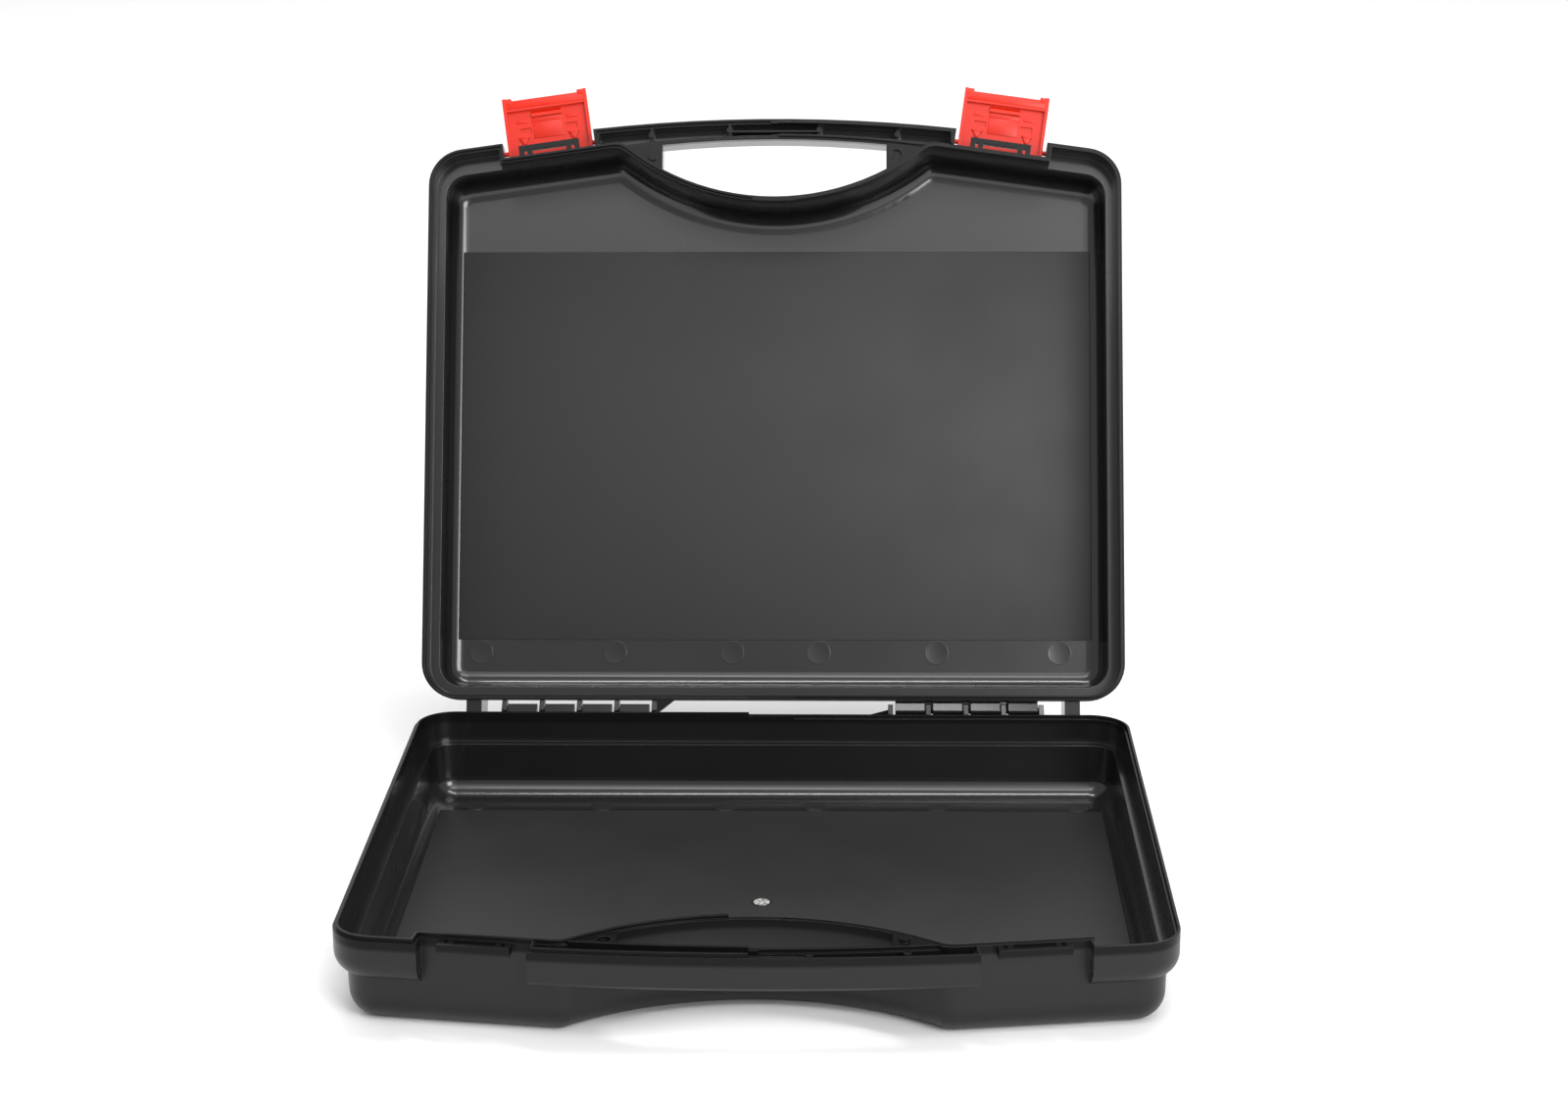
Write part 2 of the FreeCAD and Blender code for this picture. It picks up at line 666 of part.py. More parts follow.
def moulding(tag):
    """One half shell."""
    outside = join(f"{tag}_outside", [
        drafted_tray(tag, "tray", "0", "half_depth", "under_round"),
        rounded_skirt(tag), rounded_grip(tag), foot(tag, 1), foot(tag, -1)])
    cavity_skirt, _ = slab(tag, "cavity_skirt", skirt_outline, "wall", "ledge_depth", True)
    panel_end = "(panel_setback + panel_length)"
    panel_side = "(rim_width / 2 - panel_margin)"
    cavity = join(f"{tag}_cavity", [
        drafted_tray(tag, "cavity_tray", "wall", "half_depth - floor_wall", "inner_round"),
        cavity_skirt,
        block(f"{tag}_panel", (f"-{panel_side}", f"-{panel_end}", "-(half_depth - floor_wall + panel_drop)"),
              (panel_side, "-panel_setback", "-half_depth / 2"))])
    tray_guard, guard_pad = slab(tag, "tray_guard", tray_outline, "0", "2 * half_depth", True)
    bind(tray_guard, "Placement.Base.z", "half_depth")
    doc.recompute()
    channel_space = cut(f"{tag}_channel_space",
                        channel(tag, "channel", "wall", "grip_depth - grip_floor", True), tray_guard)
    lens = hole_lens(tag)
    half_hole = "(hole_width / 2)"
    far = ("0", "0", "half_depth")
    hole_box = block(f"{tag}_hole_box", (f"-{half_hole}", "-2 * case_depth", "-half_depth"),
                     (half_hole, far[1], far[2]))
    hole = overlap(f"{tag}_hand_hole", lens, hole_box)
    hole_wall = block(f"{tag}_hole_wall", (f"-({half_hole} + wall)", "-2 * case_depth", "-half_depth"),
                      (f"{half_hole} + wall", far[1], far[2]))
    under_web = cut(f"{tag}_under_web", lens, join(f"{tag}_web_guard", [
        hole_wall, block(f"{tag}_web_top", ("-rim_width", "-2 * case_depth", "-web_plate"),
                         ("rim_width", "0", "2 * half_depth"))]))
    peg_y = f"-({GRIP_APEX_V} - grip_bar - peg_inset + 1.5)"
    socket = rod(f"{tag}_socket", ("-peg_setback", peg_y, "-(peg_height + peg_gap)"), Vector(0, 0, 1),
                 "peg_diameter + 2 * peg_gap", "half_depth")
    peg = rod(f"{tag}_peg", ("peg_setback", peg_y, "-web_plate / 2"), Vector(0, 0, 1),
              "peg_diameter", "web_plate / 2 + peg_height")
    shell = carve(f"{tag}_walls", outside, [cavity, channel_space, hole, under_web, socket,
                                            pivot_bore(tag, 1), pivot_bore(tag, -1)] + lip_cut(tag, tray_guard))
    return join(f"{tag}_moulding", [shell, channel_ribs(tag, channel_space), peg, keeper(tag, 1),
                                    keeper(tag, -1)] + tongue(tag, tray_guard) + hinge(tag))


def latch(tag):
    """The snap latch, closed, with its pivot pin along X and its outside towards +Y."""
    body = doc.addObject("PartDesign::Body", tag)
    outer = "pivot_inset"
    inner = "(pivot_inset - latch_plate)"
    cheek_inner = f"({inner} - cheek_depth)"
    half = "(latch_width / 2)"
    tail = "(-latch_tail)"
    foot_end = "(-(skirt_front_step - pivot_inset - stop_gap))"
    end = "latch_length"
    plate = sketch(body, f"{tag}_plate_outline", "YZ_Plane",
                   [(inner, tail), (outer, tail), (outer, end), (inner, end)])
    tip = pad(body, f"{tag}_plate", plate, "latch_width", both=True)
    cheek = sketch(body, f"{tag}_cheek_outline", "YZ_Plane",
                   [("-pin_diameter", tail), ("0", foot_end), (inner, foot_end), (inner, f"{end} + horn_length"),
                    (cheek_inner, f"{end} + horn_length"), (cheek_inner, "pin_diameter")],
                   f"{half} - cheek_thickness")
    first = pad(body, f"{tag}_cheek", cheek, "cheek_thickness")
    stub = disc(body, f"{tag}_pin_outline", "YZ_Plane", "0", "0", "pin_diameter", f"{half} - cheek_thickness")
    pin = pad(body, f"{tag}_pin", stub, "cheek_thickness + (recess_width - latch_width) / 2 + pin_reach")
    mirror = body.newObject("PartDesign::Mirrored", f"{tag}_cheeks")
    mirror.Originals = [first, pin]
    mirror.MirrorPlane = (origin_plane(body, "YZ_Plane"), [""])
    body.Tip = mirror
    doc.recompute()
    ridge_top = f"({end} - ridge_setback)"
    ridge = sketch(body, f"{tag}_ridge_outline", "YZ_Plane",
                   [(f"{inner} - ridge_height", f"{ridge_top} - ridge_thickness"),
                    (f"{inner} + latch_plate / 2", f"{ridge_top} - ridge_thickness"),
                    (f"{inner} + latch_plate / 2", ridge_top), (f"{inner} - ridge_height", ridge_top)])
    pad(body, f"{tag}_ridge", ridge, "latch_width - cheek_thickness", both=True)
    lip_near = "(pivot_depth + keeper_top + keeper_height + lip_gap)"
    lip = sketch(body, f"{tag}_lip_outline", "YZ_Plane",
                 [(f"{inner} - lip_height", lip_near), (f"{inner} + latch_plate / 2", lip_near),
                  (f"{inner} + latch_plate / 2", f"{lip_near} + 2 * lip_thickness"),
                  (inner, f"{lip_near} + 2 * lip_thickness"),
                  (f"{inner} - lip_height", f"{lip_near} + lip_thickness")])
    pad(body, f"{tag}_lip", lip, "lip_width", both=True)
    relief_mid = "(pivot_depth - keeper_top)"
    for number, sign in enumerate(("", "-")):
        near = f"{sign}(relief_offset + relief_width / 2)"
        far = f"{sign}(relief_offset - relief_width / 2)"
        low, high = f"{relief_mid} - relief_height", relief_mid
        outline = sketch(body, f"{tag}_relief_outline_{number}", "XZ_Plane",
                         [(near, low), (far, low), (far, high), (near, high)], f"-({inner})")
        before = body.Shape.Volume
        pocket = body.newObject("PartDesign::Pocket", f"{tag}_relief_{number}")
        pocket.Profile = outline
        pocket.Reversed = False
        bind(pocket, "Length", "relief_depth")
        doc.recompute()
        if pocket.Shape.Volume >= before:
            raise ValueError(f"{pocket.Name} cut nothing")
    return body


# Importing the sketcher gives its constraints
import Sketcher

hinge_up = Vector(0, value("seat_setback"), value("half_depth"))
base_frame = Placement(hinge_up, Rotation())
lid_turned = Placement(Vector(), Rotation(Vector(0, 1, 0), 180))
lid_open = Placement(hinge_up, Rotation(Vector(1, 0, 0), -value("open_angle")))
lid_frame = lid_open.multiply(lid_turned)

half_shell = moulding("half")
nodes = []
for name, frame in (("base_shell", base_frame), ("lid_shell", lid_frame)):
    shell = doc.addObject("PartDesign::Body", name)
    shell.BaseFeature = half_shell
    shell.Label = name
    shell.Placement = frame
    doc.recompute()
    nodes.append(shell)

for name, side in (("latch_left", 1), ("latch_right", -1)):
    snap = latch(name)
    snap.Label = name
    across, forward = recess_point("recess_width / 2", "pivot_inset")
    pivot = Vector(side * value(across), -value(forward), -value("pivot_depth"))
    closed = Placement(pivot, Rotation(Vector(0, 0, 1), 180 + side * value("front_slope")))
    swing = Placement(Vector(), Rotation(Vector(1, 0, 0), -value("latch_open_angle")))
    snap.Placement = lid_frame.multiply(closed).multiply(swing)
    nodes.append(snap)
doc.recompute()

for thing in doc.Objects:
    if "Invalid" in thing.State or "Error" in thing.State:
        sys.exit(f"{thing.Name} failed: {thing.State}")
for node in nodes:
    shape = node.Shape
    if shape.isNull() or not shape.isValid() or len(shape.Solids) != 1:
        sys.exit(f"{node.Label} isn't one sound solid: {len(shape.Solids)} solids")
    shape.exportStep(f"parts/{node.Label}.step")
    box = shape.BoundBox
    print(f"{node.Label}: {shape.Volume / 1000:.1f} cm3, "
          f"{box.XLength:.1f} x {box.YLength:.1f} x {box.ZLength:.1f} mm, {len(shape.Faces)} faces")
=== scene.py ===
# %% [markdown]
# # A moulded equipment case, open and empty
# The case is two black half shells from one mould, hinged at the back, with two red snap
# latches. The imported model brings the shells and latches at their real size, so this lesson
# gives them their plastics, adds the small marks that the mould leaves, and sets up the
# camera and the light. Everything is in metres, and the case stands on the floor at z = 0.

# %% Load the case
import math

import bpy
from mathutils import Matrix, Vector


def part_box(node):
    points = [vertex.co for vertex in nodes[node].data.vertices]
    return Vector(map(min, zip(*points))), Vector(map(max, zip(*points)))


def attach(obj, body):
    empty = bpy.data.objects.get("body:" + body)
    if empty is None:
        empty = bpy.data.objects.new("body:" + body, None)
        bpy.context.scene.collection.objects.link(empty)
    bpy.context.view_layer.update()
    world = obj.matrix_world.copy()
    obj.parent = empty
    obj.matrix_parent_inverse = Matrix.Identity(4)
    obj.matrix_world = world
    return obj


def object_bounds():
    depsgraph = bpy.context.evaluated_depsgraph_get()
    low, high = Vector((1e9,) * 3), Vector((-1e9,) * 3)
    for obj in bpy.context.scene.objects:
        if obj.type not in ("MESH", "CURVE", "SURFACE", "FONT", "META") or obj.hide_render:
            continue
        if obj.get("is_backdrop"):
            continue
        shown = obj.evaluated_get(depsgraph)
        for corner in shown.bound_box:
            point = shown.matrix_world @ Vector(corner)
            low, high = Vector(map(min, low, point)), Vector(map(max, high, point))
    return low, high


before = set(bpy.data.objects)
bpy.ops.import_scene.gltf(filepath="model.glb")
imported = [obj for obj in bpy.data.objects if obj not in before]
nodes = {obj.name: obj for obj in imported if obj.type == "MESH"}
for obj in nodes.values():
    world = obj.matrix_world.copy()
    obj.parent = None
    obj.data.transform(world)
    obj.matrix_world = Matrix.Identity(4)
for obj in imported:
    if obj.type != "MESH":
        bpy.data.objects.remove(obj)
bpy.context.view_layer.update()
print("nodes:", sorted(nodes))

# %% [markdown]
# ## The camera
# The photograph was taken from in front and a little above, with a short telephoto lens.
# The place, the turn and the focal length were worked out from the straight edges of the
# rim and the floor panel. A camera looks along its own -Z, so it is first rolled about that
# line, then tilted up from looking straight down, and then turned about the vertical.

# %% Place the camera
IMAGE_WIDTH = 1600
FOCAL_PIXELS = 3096.6
SENSOR_WIDTH = 36.0
CAMERA_PLACE = Vector((0.0395, -1.2421, 0.5273))
CAMERA_TURN = math.radians(1.385)
CAMERA_TILT = math.radians(90 - 16.46)
CAMERA_ROLL = math.radians(-0.326)

bpy.ops.object.camera_add()
camera = bpy.context.object
camera.name = "photo_camera"
camera.data.sensor_width = SENSOR_WIDTH
camera.data.lens = FOCAL_PIXELS / IMAGE_WIDTH * SENSOR_WIDTH
camera.matrix_world = (
    Matrix.Translation(CAMERA_PLACE)
    @ Matrix.Rotation(CAMERA_TURN, 4, "Z")
    @ Matrix.Rotation(CAMERA_TILT, 4, "X")
    @ Matrix.Rotation(CAMERA_ROLL, 4, "Z")
)
bpy.context.scene.camera = camera
print("lens in mm:", round(camera.data.lens, 2))

# %% [markdown]
# ## The light
# The photograph was lit in a studio. A wide softbox at the right, in front of the case,
# draws the white streak down the lid's left rounding. One on a boom above the camera gives
# the soft band along the back of the base and the paler top of the lid's floor. A long one
# overhead draws the thin bright lines. A dimmer panel in front is what the lid's floor
# mirrors, another lights the background, and a pale room fills the rest. Each panel's
# brightness is set as the light it gives for its area, so it can change size alone.

# %% Light the case
def light_panel(name, place, target, size, brightness):
    """A rectangular soft light at a place, aimed at a target."""
    bpy.ops.object.light_add(type="AREA", location=place)
    panel = bpy.context.object
    panel.name = name
    panel.data.shape = "RECTANGLE"
    panel.data.size, panel.data.size_y = size
    panel.data.energy = brightness * math.pi * size[0] * size[1]
    panel.rotation_euler = (Vector(target) - Vector(place)).to_track_quat("-Z", "Y").to_euler()
    return panel


CASE_MIDDLE = (0, 0.20, 0.15)
light_panel("right_softbox", (0.95, -1.55, 1.05), CASE_MIDDLE, (0.9, 0.9), 12.0)
light_panel("boom_softbox", (0.1, -0.85, 1.60), (0, 0.12, 0), (1.0, 0.40), 5.0)
light_panel("overhead_softbox", (0.1, 0.30, 2.2), (0, 0.12, 0), (1.6, 0.12), 34.0)
light_panel("front_panel", (-0.15, -1.9, 2.05), CASE_MIDDLE, (1.7, 0.8), 1.5)
light_panel("background_panel", (0, 2.6, 2.6), (0, 3.4, 0), (5.0, 2.0), 1.6)
WORLD_STRENGTH = 0.72
world = bpy.data.worlds.new("pale_studio")
world.use_nodes = True
world.node_tree.nodes["Background"].inputs["Color"].default_value = (1, 1, 1, 1)
world.node_tree.nodes["Background"].inputs["Strength"].default_value = WORLD_STRENGTH
bpy.context.scene.world = world
bpy.context.scene.view_settings.view_transform = "Standard"

# %% [markdown]
# ## Colours and nodes
# Plastics are easier to compare as the hex values that a picture viewer shows, but nodes
# work in linear light, so one function converts them. A second one adds a node, sets it and
# links it, which keeps each material's recipe short enough to read.

# %% Two helpers for materials
def linear_colour(hex_value):
    """A colour given as an sRGB hex value, in linear light."""
    shares = [int(hex_value[place:place + 2], 16) / 255 for place in (1, 3, 5)]
    return [*((share / 12.92 if share <= 0.04045 else ((share + 0.055) / 1.055) ** 2.4)
              for share in shares), 1]


def add_node(material, kind, inputs=None, **settings):
    """Adds a node with its settings, and links or sets its inputs."""
    node = material.node_tree.nodes.new(kind)
    for name, setting in settings.items():
        setattr(node, name, setting)
    for socket, source in (inputs or {}).items():
        if isinstance(source, bpy.types.NodeSocket):
            material.node_tree.links.new(source, node.inputs[socket])
        else:
            node.inputs[socket].default_value = source
    return node


def new_plastic(name, ior, metallic=0.0):
    """An empty plastic and its shader node."""
    material = bpy.data.materials.new(name)
    material.use_nodes = True
    shader = material.node_tree.nodes["Principled BSDF"]
    shader.inputs["IOR"].default_value = ior
    shader.inputs["Metallic"].default_value = metallic
    return material, shader


print("mid grey #808080 is", round(linear_colour("#808080")[0], 3), "in linear light")

# %% [markdown]
# ## Where things sit in a half shell
# Both shells come from one mould, so a mark has one place in the moulding and two in the
# case. The moulding's own frame has the hinge line as X, the front towards -Y and the rim
# at z = 0. The base is that moulding lifted onto the floor. The lid is turned half a turn
# about Y first, and then laid back by the angle at which it stands open.

# %% Two frames for one moulding
MM = 0.001
HINGE = Vector((0, 140 * MM, 40 * MM))
OPEN_ANGLE = math.radians(112)
moulding_frames = {
    "base": Matrix.Translation(HINGE),
    "lid": (Matrix.Translation(HINGE) @ Matrix.Rotation(-OPEN_ANGLE, 4, "X")
            @ Matrix.Rotation(math.pi, 4, "Y")),
}
rim_corner = moulding_frames["lid"] @ Vector((0.17, -0.2738, 0))
print("the lid's front corner is at", [round(x * 1000, 1) for x in rim_corner], "mm")

# %% [markdown]
# ## Black moulded polypropylene
# The shells are polypropylene, coloured through. The tool's core is polished, so the inside
# of the tray is glossy and mirrors the lights in clear lines. Its cavity side is spark
# eroded, which gives the outside a fine even grain and a duller sheen. The real grain is
# about 0.1 mm across, too fine to show from a step away, so it is drawn at 0.4 mm. Handling
# polishes the edges and leaves them a little paler. Inside, a thin even skin of plastic lies
# over the pigment and gives sharper reflections than the body below, so it is a clear coat
# at part strength. The rim is cut square and stays dull. A face belongs to the inside where
# it looks towards a point just above the middle of the tray, which its place and its normal
# tell.

# %% Make the shells' plastic
GRAIN = 0.4 * MM
SHEEN_PATCH = 60 * MM
EDGE_RADIUS = 0.4 * MM
POLISHED_SKIN = 0.45
TRAY_MIDDLE = Vector((0, -140 * MM, 3 * MM))


def edge_wear_and_glow(material, radius):
    """A normal that rounds sharp edges, and where they are: 0 on a flat wall, 1 on an edge."""
    geometry = add_node(material, "ShaderNodeNewGeometry")
    rounded = add_node(material, "ShaderNodeBevel", {"Radius": radius}, samples=8)
    across = add_node(material, "ShaderNodeVectorMath", {
        0: geometry.outputs["Normal"], 1: rounded.outputs["Normal"]}, operation="DOT_PRODUCT")
    wear_and_glow = add_node(material, "ShaderNodeMapRange", {
        "Value": across.outputs["Value"], "From Min": 0.99, "From Max": 0.72, "To Min": 0, "To Max": 1})
    return rounded, wear_and_glow.outputs["Result"]


def mix(material, share, first, second):
    """A colour between two, by a share from 0 to 1."""
    return add_node(material, "ShaderNodeMix", {
        "Factor": share, "A": first, "B": second}, data_type="RGBA").outputs["Result"]


def ramp(material, value, low, high, first, second):
    """A number that goes from one to another as a value goes from low to high."""
    return add_node(material, "ShaderNodeMapRange", {
        "Value": value, "From Min": low, "From Max": high, "To Min": first, "To Max": second}).outputs["Result"]


def looks_inward(material, middle):
    """Whether a face looks towards the middle of the tray: 1 inside, 0 outside."""
    coordinates = add_node(material, "ShaderNodeTexCoord")
    towards = add_node(material, "ShaderNodeVectorMath", {
        0: middle, 1: coordinates.outputs["Object"]}, operation="SUBTRACT")
    facing = add_node(material, "ShaderNodeVectorMath", {
        0: towards.outputs["Vector"], 1: coordinates.outputs["Normal"]}, operation="DOT_PRODUCT")
    return coordinates.outputs["Object"], ramp(material, facing.outputs["Value"], 0, 1 * MM, 0, 1)


def near_rim(material, place, half_frame):
    """How close a face is to the plane where the two halves meet: 0 below it, 1 at it."""
    upright = (half_frame.to_3x3() @ Vector((0, 0, 1))).normalized()
    from_hinge = add_node(material, "ShaderNodeVectorMath", {0: place, 1: HINGE}, operation="SUBTRACT")
    height = add_node(material, "ShaderNodeVectorMath", {
        0: from_hinge.outputs["Vector"], 1: upright}, operation="DOT_PRODUCT")
    return ramp(material, height.outputs["Value"], -4.5 * MM, -3.0 * MM, 0, 1)


def black_polypropylene(name, half_frame):
    """A shell's plastic, polished inside, grained outside and dull along the rim."""
    material, shader = new_plastic(name, ior=1.49)
    place, inside = looks_inward(material, half_frame @ TRAY_MIDDLE)
    rim = near_rim(material, place, half_frame)
    grain = add_node(material, "ShaderNodeTexNoise", {
        "Vector": place, "Scale": 1 / GRAIN, "Detail": 2, "Roughness": 0.6}).outputs["Fac"]
    patches = add_node(material, "ShaderNodeTexNoise", {
        "Vector": place, "Scale": 1 / SHEEN_PATCH, "Detail": 3, "Roughness": 0.5}).outputs["Fac"]
    rounded, wear_and_glow = edge_wear_and_glow(material, EDGE_RADIUS)
    body = mix(material, patches, linear_colour("#0b0b0c"), linear_colour("#101011"))
    worn_and_glowing = mix(material, wear_and_glow, body, linear_colour("#171718"))
    polished_sheen = ramp(material, patches, 0.3, 0.7, 0.24, 0.28)
    grained_sheen = ramp(material, patches, 0.3, 0.7, 0.36, 0.42)
    sheen = add_node(material, "ShaderNodeMix", {
        0: inside, 2: grained_sheen, 3: polished_sheen}, data_type="FLOAT").outputs["Result"]
    off_rim = ramp(material, rim, 0, 1, 1, 0.35)
    gloss = add_node(material, "ShaderNodeMath", {
        0: ramp(material, inside, 0, 1, 0.34, 0.40), 1: off_rim}, operation="MULTIPLY")
    skin = add_node(material, "ShaderNodeMath", {
        0: ramp(material, inside, 0, 1, 0, POLISHED_SKIN), 1: off_rim}, operation="MULTIPLY")
    grain_strength = ramp(material, inside, 0, 1, 0.6, 0.10)
    bump = add_node(material, "ShaderNodeBump", {
        "Height": grain, "Distance": 0.03 * MM, "Strength": grain_strength,
        "Normal": rounded.outputs["Normal"]})
    links = material.node_tree.links
    links.new(worn_and_glowing, shader.inputs["Base Color"])
    links.new(sheen, shader.inputs["Roughness"])
    links.new(gloss.outputs["Value"], shader.inputs["Specular IOR Level"])
    links.new(skin.outputs["Value"], shader.inputs["Coat Weight"])
    shader.inputs["Coat Roughness"].default_value = 0.08
    shader.inputs["Coat IOR"].default_value = 1.49
    links.new(bump.outputs["Normal"], shader.inputs["Normal"])
    links.new(rounded.outputs["Normal"], shader.inputs["Coat Normal"])
    return material


shell_plastics = {body: black_polypropylene(f"moulded_black_polypropylene_{body}", half_frame)
                  for body, half_frame in moulding_frames.items()}
print("made", [plastic.name for plastic in shell_plastics.values()])

# %% [markdown]
# ## Textured floor panel
# The wide field of each tray's floor is matt, because its part of the tool was left with a
# fine texture. Under a soft light it looks an even dark grey, between the glossy strips at
# its front and back.

# %% Make the panel's plastic
def textured_polypropylene():
    """The matt field of the tray's floor."""
    material, shader = new_plastic("textured_black_polypropylene", ior=1.49)
    place = add_node(material, "ShaderNodeTexCoord").outputs["Object"]
    texture = add_node(material, "ShaderNodeTexNoise", {
        "Vector": place, "Scale": 1 / (0.5 * MM), "Detail": 3, "Roughness": 0.65}).outputs["Fac"]
    patches = add_node(material, "ShaderNodeTexNoise", {
        "Vector": place, "Scale": 1 / (45 * MM), "Detail": 2, "Roughness": 0.5}).outputs["Fac"]
    body = mix(material, patches, linear_colour("#191919"), linear_colour("#1e1e1e"))
    bump = add_node(material, "ShaderNodeBump", {
        "Height": texture, "Distance": 0.03 * MM, "Strength": 0.5})
    links = material.node_tree.links
    links.new(body, shader.inputs["Base Color"])
    links.new(ramp(material, patches, 0.3, 0.7, 0.52, 0.58), shader.inputs["Roughness"])
    shader.inputs["Specular IOR Level"].default_value = 0.42
    links.new(bump.outputs["Normal"], shader.inputs["Normal"])
    return material


panel_plastic = textured_polypropylene()
print("made", panel_plastic.name)

# %% [markdown]
# ## Red polypropylene
# The latches come from a polished tool in a bright red. Thin red plastic lets a little light
# through, so its thin edges glow; that glow is painted into the colour as a paler red along the edges, and its
# sheen is sharper than the shells'.

# %% Make the latches' plastic
def red_polypropylene():
    """The latches' plastic."""
    material, shader = new_plastic("moulded_red_polypropylene", ior=1.36)
    place = add_node(material, "ShaderNodeTexCoord").outputs["Object"]
    flow = add_node(material, "ShaderNodeTexNoise", {
        "Vector": place, "Scale": 1 / (12 * MM), "Detail": 3, "Roughness": 0.5}).outputs["Fac"]
    rounded, wear_and_glow = edge_wear_and_glow(material, 0.4 * MM)
    body = mix(material, flow, linear_colour("#c41c08"), linear_colour("#ce2409"))
    # painted glow: the edges are painted a paler red, standing in for light that comes through the thin plastic
    worn_and_glowing = mix(material, wear_and_glow, body, linear_colour("#e04c34"))
    bump = add_node(material, "ShaderNodeBump", {
        "Height": flow, "Distance": 0.02 * MM, "Strength": 0.4, "Normal": rounded.outputs["Normal"]})
    links = material.node_tree.links
    links.new(worn_and_glowing, shader.inputs["Base Color"])
    links.new(ramp(material, flow, 0.3, 0.7, 0.30, 0.38), shader.inputs["Roughness"])
    links.new(bump.outputs["Normal"], shader.inputs["Normal"])
    return material


latch_plastic = red_polypropylene()
print("made", latch_plastic.name)

# %% Dress the shells and the latches
def dress(thing, material):
    """Gives a piece one plastic all over."""
    thing.data.materials.clear()
    thing.data.materials.append(material)


for body in ("base", "lid"):
    dress(nodes[f"{body}_shell"], shell_plastics[body])
for name in ("latch_left", "latch_right"):
    dress(nodes[name], latch_plastic)
print("dressed", len(nodes), "nodes")

# %% [markdown]
# ## Tools for small pieces
# Each small piece starts as a cube or a cylinder, gets its form in edit mode, and has its
# edges rounded by a bevel, because moulded plastic has no sharp edge. An operator acts on
# all that is selected, so everything is deselected first. A finished piece has its place in
# its mesh, rides on the body that carries it, and takes its finish from a slot.

# %% Functions for small pieces
def deselect_all():
    """Leaves nothing selected."""
    bpy.ops.object.select_all(action="DESELECT")


def select_where(thing, test):
    """Selects the faces that pass a test, in edit mode."""
    bpy.ops.object.mode_set(mode="OBJECT")
    for part in (*thing.data.vertices, *thing.data.edges, *thing.data.polygons):
        part.select = False
    for face in thing.data.polygons:
        face.select = test(face)
    bpy.ops.object.mode_set(mode="EDIT")
    bpy.ops.mesh.select_mode(type="FACE")


def moulded_block(name, low, high, rounding, narrow=None):
    """A block between two corners in mm, with rounded edges; narrow shrinks its low-Z face."""
    size = [(far - near) * MM for near, far in zip(low, high)]
    middle = [(far + near) / 2 * MM for near, far in zip(low, high)]
    deselect_all()
    bpy.ops.mesh.primitive_cube_add(size=1)
    piece = bpy.context.object
    piece.name = name
    bpy.ops.object.mode_set(mode="EDIT")
    bpy.ops.mesh.select_all(action="SELECT")
    bpy.ops.transform.resize(value=size)
    if narrow:
        select_where(piece, lambda face: face.normal.z < -0.9)
        bpy.ops.transform.resize(value=(*narrow, 1))
    bpy.ops.mesh.select_all(action="SELECT")
    bpy.ops.transform.translate(value=middle)
    bpy.ops.object.mode_set(mode="OBJECT")
    soft_edges = piece.modifiers.new("soft_edges", "BEVEL")
    soft_edges.width = rounding * MM
    soft_edges.segments = 3
    bpy.ops.object.modifier_apply(modifier="soft_edges")
    bpy.ops.object.shade_smooth_by_angle(angle=math.radians(30))
    return piece


def fit(piece, body, matrix, material):
    """Moves a piece in its mesh, gives it its plastic, and lets it ride on a body."""
    piece.data.transform(matrix)
    dress(piece, material)
    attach(piece, body)


def copy_to(original, name, body, matrix, material):
    """A copy with its own mesh, fitted to a body."""
    twin = original.copy()
    twin.data = original.data.copy()
    twin.name = name
    bpy.context.scene.collection.objects.link(twin)
    fit(twin, body, matrix, material)
    return twin


print("small pieces are made in mm and placed in metres")

# %% [markdown]
# ## The raised floor panel
# The field in the tray's floor stands a third of a millimetre proud. Its long edges end in
# the rounding of the side walls, and its short strips of bright and dark edge show at the
# front and the back. One thin block with softened edges makes it, once for each shell.

# %% Lay the floor panels
FLOOR_TOP = -37.8
PANEL_TOP = -37.45
PANEL_BACK = -36.7
PANEL_FRONT = -231.9
PANEL_SIDE = 156.9
floor_panel = moulded_block("floor_panel", (-PANEL_SIDE, PANEL_FRONT, FLOOR_TOP - 0.5),
                            (PANEL_SIDE, PANEL_BACK, PANEL_TOP), 0.12)
for body, half_frame in moulding_frames.items():
    copy_to(floor_panel, f"floor_panel_{body}", body, half_frame, panel_plastic)
bpy.data.objects.remove(floor_panel)
print("panel in mm:", round(2 * PANEL_SIDE, 1), "by", round(PANEL_BACK - PANEL_FRONT, 1))

# %% [markdown]
# ## Ejector marks
# Pins push the moulding out of the tool, and each leaves a faint round witness in the
# plastic. Six stand in a row along the back of each floor. Each is a low disc with a small
# step at its edge. It is made once from a cylinder, whose top is inset and lowered in edit
# mode, and its rim is then bevelled, because a sharp rim would catch too thin a light.

# %% Make the ejector marks
PIN_RADIUS = 6.0 * MM
PIN_HEIGHT = 0.6 * MM
deselect_all()
bpy.ops.mesh.primitive_cylinder_add(vertices=64, radius=PIN_RADIUS, depth=PIN_HEIGHT)
pin_mark = bpy.context.object
select_where(pin_mark, lambda face: face.normal.z > 0.9)
bpy.ops.mesh.inset(thickness=0.4 * MM)
bpy.ops.transform.translate(value=(0, 0, -0.05 * MM))
bpy.ops.object.mode_set(mode="OBJECT")
soft_rim = pin_mark.modifiers.new("soft_rim", "BEVEL")
soft_rim.width = 0.16 * MM
soft_rim.segments = 2
soft_rim.angle_limit = math.radians(20)
bpy.ops.object.modifier_apply(modifier="soft_rim")
bpy.ops.object.shade_smooth_by_angle(angle=math.radians(30))

